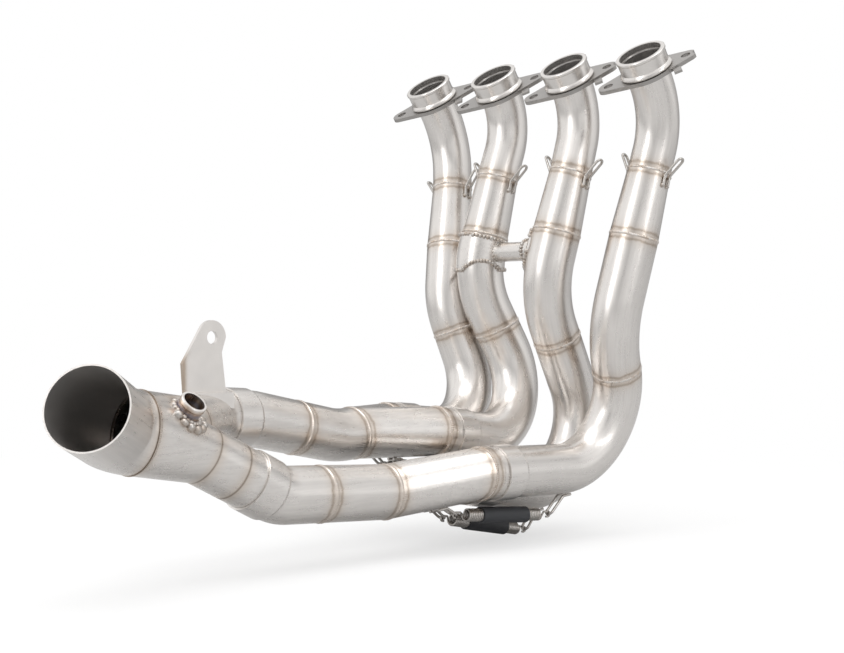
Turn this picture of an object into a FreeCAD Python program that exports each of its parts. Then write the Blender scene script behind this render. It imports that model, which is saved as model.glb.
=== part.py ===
"""Four-into-two-into-one exhaust header for an inline four motorcycle engine.

Frame: millimetres, +X along the row of ports (port 1 at -X, port 4 at +X), +Y forward,
+Z up. The origin is the middle of the port row, on the line through the port mouths.
Pipes 1 and 2 are the far pair, pipes 3 and 4 the near pair.
"""
import FreeCAD, Part
import math
import os

Vec = FreeCAD.Vector
os.makedirs("parts", exist_ok=True)

# Tube stock
wall = 1.2
stub_radius = 19.05
primary_radius = 21.75
secondary_radius = 22.25
outlet_radius = 30.0

# Port row and the bends under it
port_pitch = 84.5
port_tilt = 36.0
lead_outer = 60.5
lead_inner = 50.0
stub_bend_outer = 81.0
stub_bend_inner = 60.0
seam_a_radius = 40.0
seam_a_outer = Vec(118.0, 26.5, -99.0)
seam_a_inner = Vec(44.0, 10.5, -92.5)
cone_outer = 60.0
cone_inner = 56.0

# Lower run of each primary: knee, corner under the engine, end at the collector
knee_radius = 90.0
corner_radius = 60.0
knee = {1: Vec(-102.0, 1.0, -213.5), 2: Vec(-55.5, -9.5, -193.0),
        3: Vec(29.0, -13.0, -207.0), 4: Vec(96.5, 0.0, -242.0)}
corner = {1: Vec(-69.0, 27.5, -339.0), 2: Vec(-22.0, 62.5, -349.0),
          3: Vec(22.5, 95.0, -396.5), 4: Vec(69.0, 66.0, -363.5)}
inlet = {1: Vec(-66.0, -120.0, -326.5), 2: Vec(-19.0, -104.5, -328.5),
         3: Vec(19.5, -113.0, -366.0), 4: Vec(66.0, -141.0, -357.5)}
seam_c_run = {1: 8.0, 2: 17.0, 3: 12.0, 4: 6.0}

# Slip joints, measured along the pipe from the weld of the collector or branch
joint_band = 9.0
joint_groove = 6.0
joint_sleeve = 24.0
joint_overlap = 16.0
sleeve_seat = 5.0
sleeve_wall = 1.5
band_height = 1.1
slip_clearance = 0.15

# Weld beads
bead_height = 0.55
bead_half_width = 2.2

# Port collar and its loose flange plate
collar_height = 17.0
collar_lip_radius = 22.4
collar_lip = 2.2
collar_body_radius = 21.6
collar_foot_radius = 23.6
collar_foot = 4.6
collar_bore_radius = 18.8
collar_bore_depth = 5.0
flange_thickness = 3.5
flange_turn = 36.0
stud_spacing = 71.0
stud_hole_radius = 4.25
flange_tip_radius = 9.3
flange_eye_radius = 24.2
flange_clearance = 1.6
flange_play = 0.3
tip_notch_radius = 6.5
tab_length = 6.0
tab_width = 7.0
tab_station = 25.0

# Bent-wire spring loops
wire_radius = 1.2
loop_half_width = 3.4
loop_leg = 9.0
head_loop_flare = 16.0
front_loop_flare = 18.0
rear_loop_flare = 10.0
loop_flare_angle = 38.0
loop_bend_radius = 3.0
loop_lift = 0.1
head_loop_gap = 2.6
front_loop_lead = {1: 94.0, 2: 84.0, 3: 104.0, 4: 113.0}
rear_loop_share = {1: 0.51, 2: 0.53, 3: 0.46, 4: 0.50}

# Crossover between pipes 2 and 3
crossover_radius = 8.8
crossover_level = -167.0
socket_length = 6.0
socket_wall = 1.4
saddle_thickness = 1.3
saddle_above = 13.0
saddle_below = 16.0
saddle_arch_radius = 24.0
saddle_arch_rise = 8.0
saddle_arch_way = Vec(0.69, -0.72, 0.0)
patch_half_height = 21.0
patch_half_width = 16.0

# Collectors, secondary pipes, branches and the outlet
near_merge = Vec(32.0, -216.5, -369.1)
near_knee = Vec(28.3, -326.5, -363.3)
near_rise = Vec(28.9, -403.6, -325.6)
near_knee_radius = 40.0
far_merge = Vec(-37.3, -187.0, -326.6)
far_sag = Vec(-35.9, -206.1, -328.1)
far_crest = Vec(-27.8, -306.0, -308.7)
far_turn = Vec(-24.9, -346.0, -306.3)
merge_point = Vec(31.4, -443.2, -312.0)
far_sag_radius = 100.0
far_crest_radius = 60.0
far_turn_radius = 40.0
near_seam_y = -285.0
far_seam_y = -257.0
near_mouth_y = -355.5
far_mouth_y = -335.5
near_branch_end_y = -399.0
far_branch_end_y = -395.0
outlet_seam = Vec(31.3, -458.0, -309.2)
outlet_corner = Vec(31.0, -472.0, -306.5)
outlet_mouth = Vec(62.5, -516.5, -289.0)
outlet_bend_radius = 42.0
join_tolerance = 0.001

# Sensor bung on the merge
bung_radius = 10.0
bung_bore_radius = 8.2
bung_thread = 8.0
bung_relief_radius = 8.7
bung_mouth = Vec(50.1, -420.3, -288.4)
bung_way = Vec(0.68, 0.12, 0.72)
bung_length = 24.0
bung_rim = 3.0
bung_neck_step = 0.5

# Support bracket on the far branch
bracket_thickness = 3.0
bracket_x = -12.0
bracket_hole_radius = 5.0
bracket_hole_y = -358.3
bracket_hole_z = -244.4
bracket_head_radius = 13.0
bracket_front_y = -343.6
bracket_neck_z = -255.7
bracket_neck_depth = 5.6
bracket_shoulder_y = -386.0
bracket_shoulder_z = -263.7
bracket_rear_y = -383.3
bracket_foot_z = -286.0
bracket_foot_width = 11.0
bracket_bottom_z = -298.0

# Springs that hold the slip joints together
spring_coil_radius = 5.6
spring_wire_radius = 0.9
spring_pitch = 2.0
spring_sleeve_length = 52.0
spring_sleeve_wall = 1.2
spring_sleeve_clearance = 0.1
hook_reach = 12.0
hook_clearance = 0.1
hook_tail = 2.0


def unit(vector):
    """A copy of the vector with length one."""
    return Vec(vector).normalize()


class Run:
    """A straight stretch of a centreline."""

    def __init__(self, start, end):
        self.start = Vec(start)
        self.length = (end - start).Length
        self.way = unit(end - start)

    def point(self, s):
        return self.start + self.way * s

    def tangent(self, s):
        return self.way

    def part(self, s0, s1):
        return Run(self.point(s0), self.point(s1))

    def solid(self, radius):
        return Part.makeCylinder(radius, self.length, self.start, self.way)


class Bend:
    """A circular stretch of a centreline, tangent to what comes before it."""

    def __init__(self, start, way, centre, angle):
        self.start = Vec(start)
        self.way = unit(way)
        self.centre = Vec(centre)
        self.angle = angle
        self.radius = (start - centre).Length
        self.axis = unit((start - centre).cross(way))
        self.length = self.radius * math.radians(angle)

    def turn(self, s):
        return FreeCAD.Rotation(self.axis, math.degrees(s / self.radius))

    def point(self, s):
        return self.centre + self.turn(s).multVec(self.start - self.centre)

    def tangent(self, s):
        return self.turn(s).multVec(self.way)

    def part(self, s0, s1):
        angle = math.degrees((s1 - s0) / self.radius)
        return Bend(self.point(s0), self.tangent(s0), self.centre, angle)

    def solid(self, radius):
        disc = Part.Face(Part.Wire(Part.makeCircle(radius, self.start, self.way)))
        return disc.revolve(self.centre, self.axis, self.angle)


class Route:
    """Straight runs joined by tangent bends."""

    def __init__(self, spans):
        self.spans = spans
        self.length = sum(span.length for span in spans)

    @classmethod
    def through(cls, points, radii):
        spans = []
        start = points[0]
        for before, here, after, radius in zip(points, points[1:], points[2:], radii):
            way_in = unit(here - before)
            way_out = unit(after - here)
            angle = math.degrees(way_in.getAngle(way_out))
            setback = radius * math.tan(math.radians(angle / 2))
            bend_start = here - way_in * setback
            inward = unit(way_out - way_in * way_in.dot(way_out))
            spans.append(Run(start, bend_start))
            spans.append(Bend(bend_start, way_in, bend_start + inward * radius, angle))
            start = here + way_out * setback
        spans.append(Run(start, points[-1]))
        return cls(spans)

    def locate(self, s):
        for span in self.spans[:-1]:
            if s <= span.length:
                return span, s
            s -= span.length
        return self.spans[-1], s

    def point(self, s):
        span, rest = self.locate(s)
        return span.point(rest)

    def tangent(self, s):
        span, rest = self.locate(s)
        return span.tangent(rest)

    def end_of(self, index):
        return sum(span.length for span in self.spans[:index + 1])

    def part(self, s0, s1):
        pieces = []
        passed = 0.0
        for span in self.spans:
            low = max(s0 - passed, 0.0)
            high = min(s1 - passed, span.length)
            if high - low > 1e-6:
                pieces.append(span.part(low, high))
            passed += span.length
        return Route(pieces)

    def solid(self, radius):
        return fuse([span.solid(radius) for span in self.spans])

    def pipe(self, radius, inner):
        return self.solid(radius).cut(self.solid(inner))


def fuse(solids):
    """One solid from several that touch or overlap."""
    if len(solids) == 1:
        return solids[0]
    return solids[0].multiFuse(solids[1:]).removeSplitter()


def blend(solids):
    """One solid from several that share an end circle, with the lines where they meet kept."""
    return solids[0].multiFuse(solids[1:], join_tolerance)


def turned(profile, base, way):
    """A solid of revolution: profile is (radius, height) points, height along way from base."""
    points = [Vec(radius, 0, height) for radius, height in profile]
    face = Part.Face(Part.makePolygon(points + points[:1]))
    solid = face.revolve(Vec(0, 0, 0), Vec(0, 0, 1), 360)
    solid.Placement = FreeCAD.Placement(base, FreeCAD.Rotation(Vec(0, 0, 1), way))
    return solid


def bead(point, way, radius):
    """Half of a weld bead: rooted in the tube's wall, it rises to the seam at the point."""
    root = radius - wall / 2
    crown = radius + bead_height
    profile = [(root, 0), (crown, 0), (crown - 0.1 * bead_height, 0.4 * bead_half_width),
               (root, 1.3 * bead_half_width)]
    return turned(profile, point, way)


def ring(base, way, radius, inner, length):
    """A plain tube from base, along way."""
    tube = Part.makeCylinder(radius, length, base, way)
    return tube.cut(Part.makeCylinder(inner, length, base, way))


class WireLoop:
    """A bent-wire loop: two legs lie along the tube, then flare out to a round end."""

    def __init__(self, base, along, out, flare):
        along = unit(along)
        self.across = unit(along.cross(out))
        self.out = unit(self.across.cross(along))
        angle = math.radians(loop_flare_angle)
        self.rise = along * math.cos(angle) + self.out * math.sin(angle)
        self.foot = base + self.out * wire_radius
        self.turn = self.foot + along * loop_leg
        self.end = self.turn + self.rise * flare
        self.crown = self.end + self.rise * loop_half_width

    def solid(self):
        spans = []
        for side in (-1, 1):
            shift = self.across * (side * loop_half_width)
            points = [self.foot + shift, self.turn + shift, self.end + shift]
            spans += Route.through(points, [loop_bend_radius]).spans
        first = self.end - self.across * loop_half_width
        spans.append(Bend(first, self.rise, self.end, 180))
        return Route(spans).solid(wire_radius)


def port_point(number):
    return Vec((number - 2.5) * port_pitch, 0, 0)


tilt = math.radians(port_tilt)
port_way = Vec(0, -math.sin(tilt), math.cos(tilt))
port_side = Vec(1, 0, 0)
port_front = port_way.cross(port_side)
outer_pipes = (1, 4)
side_of = {1: -1, 2: -1, 3: 1, 4: 1}


def mirrored(point, number):
    return Vec(point.x * side_of[number], point.y, point.z)


def primary_route(number):
    """Centreline of one primary, from the port mouth to the collector weld."""
    if number in outer_pipes:
        lead, bend, seam_a = lead_outer, stub_bend_outer, mirrored(seam_a_outer, number)
    else:
        lead, bend, seam_a = lead_inner, stub_bend_inner, mirrored(seam_a_inner, number)
    mouth = port_point(number)
    points = [mouth, mouth - port_way * lead, seam_a, knee[number], corner[number], inlet[number]]
    return Route.through(points, [bend, seam_a_radius, knee_radius, corner_radius])


primaries = {number: primary_route(number) for number in (1, 2, 3, 4)}


def primary_stations(number):
    """Distances along a primary of its seams and of the mouth of its slip sleeve."""
    route = primaries[number]
    seam_a = route.end_of(3)
    seam_b = seam_a + (cone_outer if number in outer_pipes else cone_inner)
    seam_c = route.end_of(5) + seam_c_run[number]
    sleeve_mouth = route.length - joint_band - joint_groove
    return seam_a, seam_b, seam_c, sleeve_mouth


def port_collar(number):
    """Turned collar: lip, tall body, flared foot and a stepped bore."""
    inner = stub_radius - wall
    height = collar_height
    profile = [(collar_bore_radius, 0), (collar_lip_radius - 0.5, 0), (collar_lip_radius, -0.5),
               (collar_lip_radius, -collar_lip), (collar_body_radius, -collar_lip - 0.8),
               (collar_body_radius, collar_foot - height),
               (collar_foot_radius - 0.6, collar_foot - height - 1.6),
               (collar_foot_radius, 1.9 - height), (collar_foot_radius - 0.5, 0.6 - height),
               (collar_foot_radius - 1.4, -height), (inner, -height),
               (inner, -collar_bore_depth - 1.0), (collar_bore_radius - 0.6, -collar_bore_depth),
               (collar_bore_radius, -collar_bore_depth)]
    return turned(profile, port_point(number), port_way)


def flange_outline(centre, arm, front):
    """Eye-shaped outline of the flange: a round middle with two arms to the studs."""
    half = stud_spacing / 2
    lean = math.asin((flange_eye_radius - flange_tip_radius) / half)
    spots = []
    for side, up in ((1, 1), (-1, 1), (-1, -1), (1, -1)):
        normal = arm * (side * math.sin(lean)) + front * (up * math.cos(lean))
        eye = centre + normal * flange_eye_radius
        tip = centre + arm * (side * half) + normal * flange_tip_radius
        spots.append((eye, tip))
    right_tip = centre + arm * (half + flange_tip_radius)
    left_tip = centre - arm * (half + flange_tip_radius)
    top = centre + front * flange_eye_radius
    bottom = centre - front * flange_eye_radius
    edges = [Part.Arc(spots[0][0], top, spots[1][0]).toShape(),
             Part.LineSegment(spots[1][0], spots[1][1]).toShape(),
             Part.Arc(spots[1][1], left_tip, spots[2][1]).toShape(),
             Part.LineSegment(spots[2][1], spots[2][0]).toShape(),
             Part.Arc(spots[2][0], bottom, spots[3][0]).toShape(),
             Part.LineSegment(spots[3][0], spots[3][1]).toShape(),
             Part.Arc(spots[3][1], right_tip, spots[0][1]).toShape(),
             Part.LineSegment(spots[0][1], spots[0][0]).toShape()]
    return Part.Wire(edges)


def flange_plate(number):
    """Loose two-stud plate that hangs under the collar's foot."""
    turn = math.radians(flange_turn)
    arm = port_side * math.cos(turn) + port_front * math.sin(turn)
    front = port_way.cross(arm)
    top = port_point(number) - port_way * (collar_height + flange_play)
    plate = Part.Face(flange_outline(top, arm, front)).extrude(port_way * -flange_thickness)
    below = top - port_way * flange_thickness
    tab_root = below + arm * (tab_station - tab_width / 2) - front * (flange_eye_radius - 8.0)
    tab = Part.makeBox(tab_width, tab_length + 4.0, flange_thickness * 0.6)
    tab.Placement = FreeCAD.Placement(tab_root, FreeCAD.Rotation(arm, -front, -port_way, "ZXY"))
    tab.translate(port_way * (flange_thickness * 0.6))
    plate = plate.fuse(tab).removeSplitter()
    holes = [Part.makeCylinder(stub_radius + flange_clearance, flange_thickness, below, port_way)]
    for side in (-1, 1):
        stud = below + arm * (side * stud_spacing / 2)
        holes.append(Part.makeCylinder(stud_hole_radius, flange_thickness, stud, port_way))
    notch_reach = stud_spacing / 2 + flange_tip_radius + 0.55 * tip_notch_radius
    notch = Part.makeCylinder(tip_notch_radius, flange_thickness, below + arm * notch_reach, port_way)
    return plate.cut(holes + [notch])


def stub_bend(number):
    """Bent stub from the collar's foot to the first seam."""
    route = primaries[number]
    seam_a = primary_stations(number)[0]
    pipe = route.part(collar_height, seam_a).pipe(stub_radius, stub_radius - wall)
    return fuse([pipe, bead(route.point(seam_a), route.tangent(seam_a) * -1, stub_radius)])


def primary_cone(number):
    """Straight cone that widens the stub to the primary's size."""
    route = primaries[number]
    seam_a, seam_b = primary_stations(number)[:2]
    start = route.point(seam_a)
    way = route.tangent(seam_a + 1.0)
    length = seam_b - seam_a
    outside = Part.makeCone(stub_radius, primary_radius, length, start, way)
    inside = Part.makeCone(stub_radius - wall, primary_radius - wall, length, start, way)
    solids = [outside.cut(inside), bead(start, way, stub_radius)]
    solids.append(bead(route.point(seam_b), way * -1, primary_radius))
    return fuse(solids)


def primary_bend(number):
    """Knee of the primary, between the second and third seams."""
    route = primaries[number]
    seam_b, seam_c = primary_stations(number)[1:3]
    pipe = route.part(seam_b, seam_c).pipe(primary_radius, primary_radius - wall)
    start = bead(route.point(seam_b), route.tangent(seam_b), primary_radius)
    end = bead(route.point(seam_c), route.tangent(seam_c) * -1, primary_radius)
    bend = fuse([pipe, start, end])
    if number in (2, 3):
        bend = bend.cut(crossover_bore(crossover_radius - wall))
    return bend


def primary_elbow(number):
    """Long corner that carries the primary under the engine and into its slip sleeve."""
    route = primaries[number]
    seam_c, sleeve_mouth = primary_stations(number)[2:]
    end = sleeve_mouth - joint_sleeve + sleeve_seat
    pipe = route.part(seam_c, end).pipe(primary_radius, primary_radius - wall)
    return fuse([pipe, bead(route.point(seam_c), route.tangent(seam_c), primary_radius)])


def slip_sleeve(mouth, way, tube_radius):
    """Sleeve welded on the end of a pipe; its mouth takes the next pipe's spigot."""
    outer = tube_radius + slip_clearance + sleeve_wall
    slide = tube_radius + slip_clearance
    depth = joint_sleeve
    profile = [(slide, 0), (outer, 0), (outer, 3.2 - depth), (outer - 0.4, 2.0 - depth),
               (tube_radius, -depth), (tube_radius, sleeve_seat - depth), (slide, sleeve_seat - depth)]
    return turned(profile, mouth, way)


def spigot(weld, way, radius):
    """Filled form of the spigot that enters a slip sleeve and ends at the weld."""
    reach = joint_band + joint_groove + joint_overlap
    return Part.makeCylinder(radius, reach, weld - way * reach, way)


def raised_band(weld, way):
    """Raised band of a spigot, next to its weld."""
    foot = primary_radius - wall / 2
    crown = primary_radius + band_height
    profile = [(foot, 0), (crown, 0), (crown, 1.2 - joint_band), (crown - 0.6, -joint_band),
               (foot, -joint_band)]
    return turned(profile, weld, way)


def lobe(start, start_way, start_radius, end, end_way, end_radius):
    """Slanted cone between two circles, each square to its own direction."""
    first = Part.Wire(Part.makeCircle(start_radius, start, start_way))
    last = Part.Wire(Part.makeCircle(end_radius, end, end_way))
    return Part.makeLoft([first, last], True, True)


def collector(numbers, merge, merge_way):
    """Two spigots and the two-lobed body that brings them into one pipe."""
    filled = []
    hollow = []
    rims = [bead(merge, merge_way * -1, secondary_radius)]
    for number in numbers:
        weld = inlet[number]
        way = primaries[number].tangent(primaries[number].length)
        inner = primary_radius - wall
        filled.append(lobe(weld, way, primary_radius, merge, merge_way, secondary_radius))
        filled.append(spigot(weld, way, primary_radius))
        hollow.append(lobe(weld, way, inner, merge, merge_way, secondary_radius - wall))
        hollow.append(spigot(weld, way, inner))
        rims.append(raised_band(weld, way))
    return blend([blend(filled).cut(hollow)] + rims)


def station_where(route, low, high, before):
    """Distance along a route, between low and high, up to which before(point) holds."""
    for _ in range(40):
        middle = (low + high) / 2
        if before(route.point(middle)):
            low = middle
        else:
            high = middle
    return low


def station_at_y(route, y):
    """Distance along a rear line at which its centreline passes the given Y."""
    return station_where(route, 0.0, route.length, lambda point: point.y > y)


def rear_line(points, radii, end_y):
    """Centreline of a rear pipe, from its collector to the seam of the final merge."""
    route = Route.through(points, radii)
    return route.part(0.0, station_at_y(route, end_y))


near_line = rear_line([near_merge, near_knee, near_rise], [near_knee_radius], near_branch_end_y)
far_line = rear_line([far_merge, far_sag, far_crest, far_turn, merge_point],
                     [far_sag_radius, far_crest_radius, far_turn_radius], far_branch_end_y)
near_way = near_line.tangent(0.0)
far_way = far_line.tangent(0.0)


def secondary_front(line, seam_y):
    """Front half of a secondary pipe, from the collector to the middle seam."""
    seam = station_at_y(line, seam_y)
    pipe = line.part(0.0, seam).pipe(secondary_radius, secondary_radius - wall)
    start = bead(line.point(0.0), line.tangent(0.0), secondary_radius)
    end = bead(line.point(seam), line.tangent(seam) * -1, secondary_radius)
    return fuse([pipe, start, end])


def secondary_rear(line, seam_y, mouth_y):
    """Rear half of a secondary pipe, from the middle seam into its slip sleeve."""
    seam = station_at_y(line, seam_y)
    end = station_at_y(line, mouth_y) - joint_sleeve + sleeve_seat
    pipe = line.part(seam, end).pipe(secondary_radius, secondary_radius - wall)
    return fuse([pipe, bead(line.point(seam), line.tangent(seam), secondary_radius)])


def rear_sleeve(line, mouth_y):
    """Slip sleeve on the end of a secondary pipe."""
    mouth = station_at_y(line, mouth_y)
    return slip_sleeve(line.point(mouth), line.tangent(mouth), secondary_radius)


def branch_route(line, mouth_y):
    """The end of a rear line, from inside its slip sleeve to the seam of the final merge."""
    return line.part(station_at_y(line, mouth_y) - joint_overlap, line.length)


near_branch_route = branch_route(near_line, near_mouth_y)
far_branch_route = branch_route(far_line, far_mouth_y)
outlet_route = Route.through([outlet_seam, outlet_corner, outlet_mouth], [outlet_bend_radius])
outlet_way = outlet_route.tangent(0)


def branch_end(route):
    return route.point(route.length), route.tangent(route.length)


def merge_lobe(route, shrink):
    """One lobe of the final merge, from a branch to the outlet pipe."""
    end, way = branch_end(route)
    return lobe(end, way, secondary_radius - shrink, outlet_seam, outlet_way, outlet_radius - shrink)


def merge_outside():
    """Outer form of the final merge, filled."""
    lobes = [merge_lobe(near_branch_route, 0), merge_lobe(far_branch_route, 0)]
    return blend(lobes)


def final_merge():
    """Two-lobed merge body, open to both branches, to the outlet and to the sensor."""
    lobes = [merge_lobe(near_branch_route, wall), merge_lobe(far_branch_route, wall)]
    body = merge_outside().cut(lobes)
    for route in (near_branch_route, far_branch_route):
        body = body.cut(route.solid(secondary_radius - wall))
    way = unit(bung_way)
    body = body.cut(Part.makeCylinder(bung_relief_radius, bung_length, bung_mouth, way * -1))
    return blend([body, bead(outlet_seam, outlet_way * -1, outlet_radius)])


def branch(route, other, other_radius, merge):
    """Branch pipe with its spigot; its end is coped round the other branch and the merge."""
    pipe = route.pipe(secondary_radius, secondary_radius - wall)
    return pipe.cut([other.solid(other_radius), merge_lobe(other, wall)]).cut(merge)


def outlet_pipe():
    """Outlet bend with a plain mouth for the next slip-on pipe."""
    pipe = outlet_route.pipe(outlet_radius, outlet_radius - wall)
    return fuse([pipe, bead(outlet_seam, outlet_way, outlet_radius)])


def sensor_bung():
    """Threaded boss for the exhaust sensor, coped to sit in the crotch of the merge."""
    neck = bung_radius - bung_neck_step
    profile = [(bung_bore_radius, 0), (bung_radius - 0.4, 0), (bung_radius, -0.4),
               (bung_radius, -bung_rim), (neck, -bung_rim - 1.0),
               (neck, -bung_length), (bung_relief_radius, -bung_length),
               (bung_relief_radius, bung_bore_radius - bung_relief_radius - bung_thread),
               (bung_bore_radius, -bung_thread)]
    return turned(profile, bung_mouth, unit(bung_way)).cut(merge_outside())


def support_bracket():
    """Folded plate bracket that stands on the far branch."""
    hole = Vec(0, bracket_hole_y, bracket_hole_z)
    head = bracket_head_radius
    lean = math.radians(50)
    head_rear = hole + Vec(0, -head * math.sin(lean), head * math.cos(lean))
    head_front = hole + Vec(0, head, 0)
    neck = Vec(0, bracket_front_y - bracket_neck_depth, bracket_neck_z)
    front_foot = Vec(0, bracket_front_y, bracket_bottom_z)
    rear_foot = Vec(0, bracket_rear_y, bracket_bottom_z)
    shoulder = Vec(0, bracket_shoulder_y, bracket_shoulder_z)
    edges = [Part.Arc(head_rear, hole + Vec(0, 0, head), head_front).toShape(),
             Part.LineSegment(head_front, neck).toShape(),
             Part.LineSegment(neck, front_foot).toShape(),
             Part.LineSegment(front_foot, rear_foot).toShape(),
             Part.LineSegment(rear_foot, shoulder).toShape(),
             Part.LineSegment(shoulder, head_rear).toShape()]
    plate = Part.Face(Part.Wire(edges)).extrude(Vec(bracket_thickness, 0, 0))
    foot = Part.makeBox(bracket_foot_width, bracket_front_y - bracket_rear_y,
                        bracket_foot_z - bracket_bottom_z,
                        Vec(0, bracket_rear_y, bracket_bottom_z))
    bolt = Part.makeCylinder(bracket_hole_radius, bracket_thickness, hole, Vec(1, 0, 0))
    bracket = plate.fuse(foot).removeSplitter().cut(bolt)
    bracket.translate(Vec(bracket_x, 0, 0))
    pipes = [far_branch_route.solid(secondary_radius), merge_outside()]
    return bracket.cut(pipes)


def station_at_level(number, level):
    """Distance along a primary at which its centreline passes the given height."""
    stations = primary_stations(number)
    return station_where(primaries[number], stations[0], stations[2], lambda point: point.z > level)


crossover_start = primaries[2].point(station_at_level(2, crossover_level))
crossover_end = primaries[3].point(station_at_level(3, crossover_level))
crossover_way = unit(crossover_end - crossover_start)


def crossover_bore(radius):
    """Cylinder between the centrelines of pipes 2 and 3."""
    length = (crossover_end - crossover_start).Length
    return Part.makeCylinder(radius, length, crossover_start, crossover_way)


def sheet_on(number, above, below):
    """Sheet wrapped round a primary, from above to below the crossover."""
    station = station_at_level(number, crossover_level)
    stretch = primaries[number].part(station - above, station + below)
    return stretch.pipe(primary_radius + saddle_thickness, primary_radius)


def wrapped_saddle():
    """Saddle round pipe 2, with an arched lower edge."""
    sheet = sheet_on(2, saddle_above, saddle_below)
    way = unit(saddle_arch_way)
    reach = 2 * primary_radius
    low = primaries[2].point(station_at_level(2, crossover_level) + saddle_below)
    centre = low - Vec(0, 0, saddle_arch_radius - saddle_arch_rise) - way * reach
    arch = Part.makeCylinder(saddle_arch_radius, 2 * reach, centre, way)
    return sheet.cut([arch, crossover_bore(crossover_radius - wall)])


def socket_patch():
    """Oval patch on pipe 3 with the socket that takes the crossover pipe."""
    station = station_at_level(3, crossover_level)
    seam_b = primary_stations(3)[1]
    above = min(patch_half_height, station - seam_b - bead_half_width - 0.2)
    sheet = sheet_on(3, above, patch_half_height + 1)
    oval = Part.Ellipse(Vec(0, 0, 0), patch_half_height, patch_half_width).toShape()
    block = Part.Face(Part.Wire(oval)).extrude(Vec(0, 0, 2 * primary_radius))
    turn = FreeCAD.Rotation(Vec(0, 0, -1), Vec(0, 1, 0), crossover_way * -1, "ZXY")
    block.Placement = FreeCAD.Placement(crossover_end, turn)
    patch = sheet.common(block)
    reach = primary_radius + saddle_thickness + socket_length
    inner = crossover_radius + slip_clearance
    socket = ring(crossover_end - crossover_way * reach, crossover_way, inner + socket_wall, inner,
                  reach)
    stretch = primaries[3].part(station - above, station + patch_half_height)
    socket = socket.cut(stretch.solid(primary_radius))
    return fuse([patch, socket]).cut(crossover_bore(crossover_radius - wall))


def crossover_pipe():
    """Balance pipe between pipes 2 and 3: welded to the saddle, loose in the socket."""
    tube = crossover_bore(crossover_radius).cut(crossover_bore(crossover_radius - wall))
    solids = []
    for number in (2, 3):
        station = station_at_level(number, crossover_level)
        stretch = primaries[number].part(station - patch_half_height, station + patch_half_height)
        solids.append(stretch.solid(primary_radius + saddle_thickness))
    return tube.cut(solids)


def head_loops(number):
    """Two spring loops on the cone, one on each side, reaching up past the first seam."""
    route = primaries[number]
    seam_a, seam_b = primary_stations(number)[:2]
    down = route.tangent(seam_a + 1.0)
    slope = (primary_radius - stub_radius) / (seam_b - seam_a)
    drop = head_loop_gap + loop_leg
    solids = []
    for side in (-1, 1):
        out = port_side * side
        out = unit(out - down * out.dot(down))
        base = route.point(seam_a + drop) + out * (stub_radius + slope * drop + loop_lift)
        loop = WireLoop(base, down * -1 - out * slope, out, head_loop_flare)
        solids.append(loop.solid())
    return Part.makeCompound(solids)


def below(way):
    """Downward direction square to the way."""
    down = Vec(0, 0, -1)
    return unit(down - way * down.dot(way))


def front_seat(number):
    """Foot of the spring loop under an elbow, and the way out of the pipe there."""
    route = primaries[number]
    station = route.length - front_loop_lead[number]
    out = below(route.tangent(station))
    return route.point(station) + out * (primary_radius + loop_lift), out


def rear_seat(number):
    """Foot of the spring loop under a lobe of a collector, and the way out of the lobe there."""
    merge, merge_way = (near_merge, near_way) if side_of[number] > 0 else (far_merge, far_way)
    joint_way = primaries[number].tangent(primaries[number].length)
    start = inlet[number]
    out = below(unit(merge + below(merge_way) * secondary_radius
                     - start - below(joint_way) * primary_radius))
    middle = start + (merge - start) * rear_loop_share[number]
    body = lobe(start, joint_way, primary_radius, merge, merge_way, secondary_radius)
    inside = Part.makeLine(middle, middle + out * (2 * secondary_radius)).common(body)
    return middle + out * (inside.Length + loop_lift), out


def loop_pair(number):
    """The two spring loops of one slip joint, turned to face each other."""
    front_base, front_out = front_seat(number)
    rear_base, rear_out = rear_seat(number)
    way = unit(rear_base - front_base)
    front_way = way - front_out * way.dot(front_out)
    rear_way = rear_out * way.dot(rear_out) - way
    front = WireLoop(front_base, front_way, front_out, front_loop_flare)
    rear = WireLoop(rear_base, rear_way, rear_out, rear_loop_flare)
    return front, rear


def joint_spring(number):
    """Extension spring of one slip joint, hooked over the crowns of its two loops."""
    front, rear = loop_pair(number)
    axis = unit(rear.crown - front.crown)
    start = front.crown + axis * hook_reach
    coil_length = (rear.crown - front.crown).Length - 2 * hook_reach
    crest = spring_coil_radius
    root = crest - spring_wire_radius
    bore = crest - 2 * spring_wire_radius
    profile = [(0, 0), (crest, 0)]
    open_length = (coil_length - spring_sleeve_length) / 2
    turns = int(open_length / spring_pitch)
    for turn in range(turns):
        profile.append((root, (turn + 0.5) * spring_pitch))
        profile.append((crest, (turn + 1) * spring_pitch))
    for turn in range(turns, 0, -1):
        profile.append((crest, coil_length - turn * spring_pitch))
        profile.append((root, coil_length - (turn - 0.5) * spring_pitch))
    end_wall = 2 * spring_wire_radius
    profile += [(crest, coil_length), (0, coil_length), (0, coil_length - end_wall),
                (bore, coil_length - end_wall), (bore, end_wall), (0, end_wall)]
    solids = [turned(profile, start, axis)]
    hook_radius = wire_radius + spring_wire_radius + hook_clearance
    for loop, inward in ((front, axis), (rear, axis * -1)):
        out = unit(loop.out - axis * loop.out.dot(axis))
        foot = loop.crown + out * hook_radius
        solids.append(Part.makeCylinder(spring_wire_radius, hook_reach, foot, inward))
        disc = Part.Face(Part.Wire(Part.makeCircle(spring_wire_radius, foot, inward)))
        solids.append(disc.revolve(loop.crown, inward.cross(out), 180))
        tail = loop.crown - out * hook_radius
        solids.append(Part.makeCylinder(spring_wire_radius, hook_tail, tail, inward))
    return fuse(solids)


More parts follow.
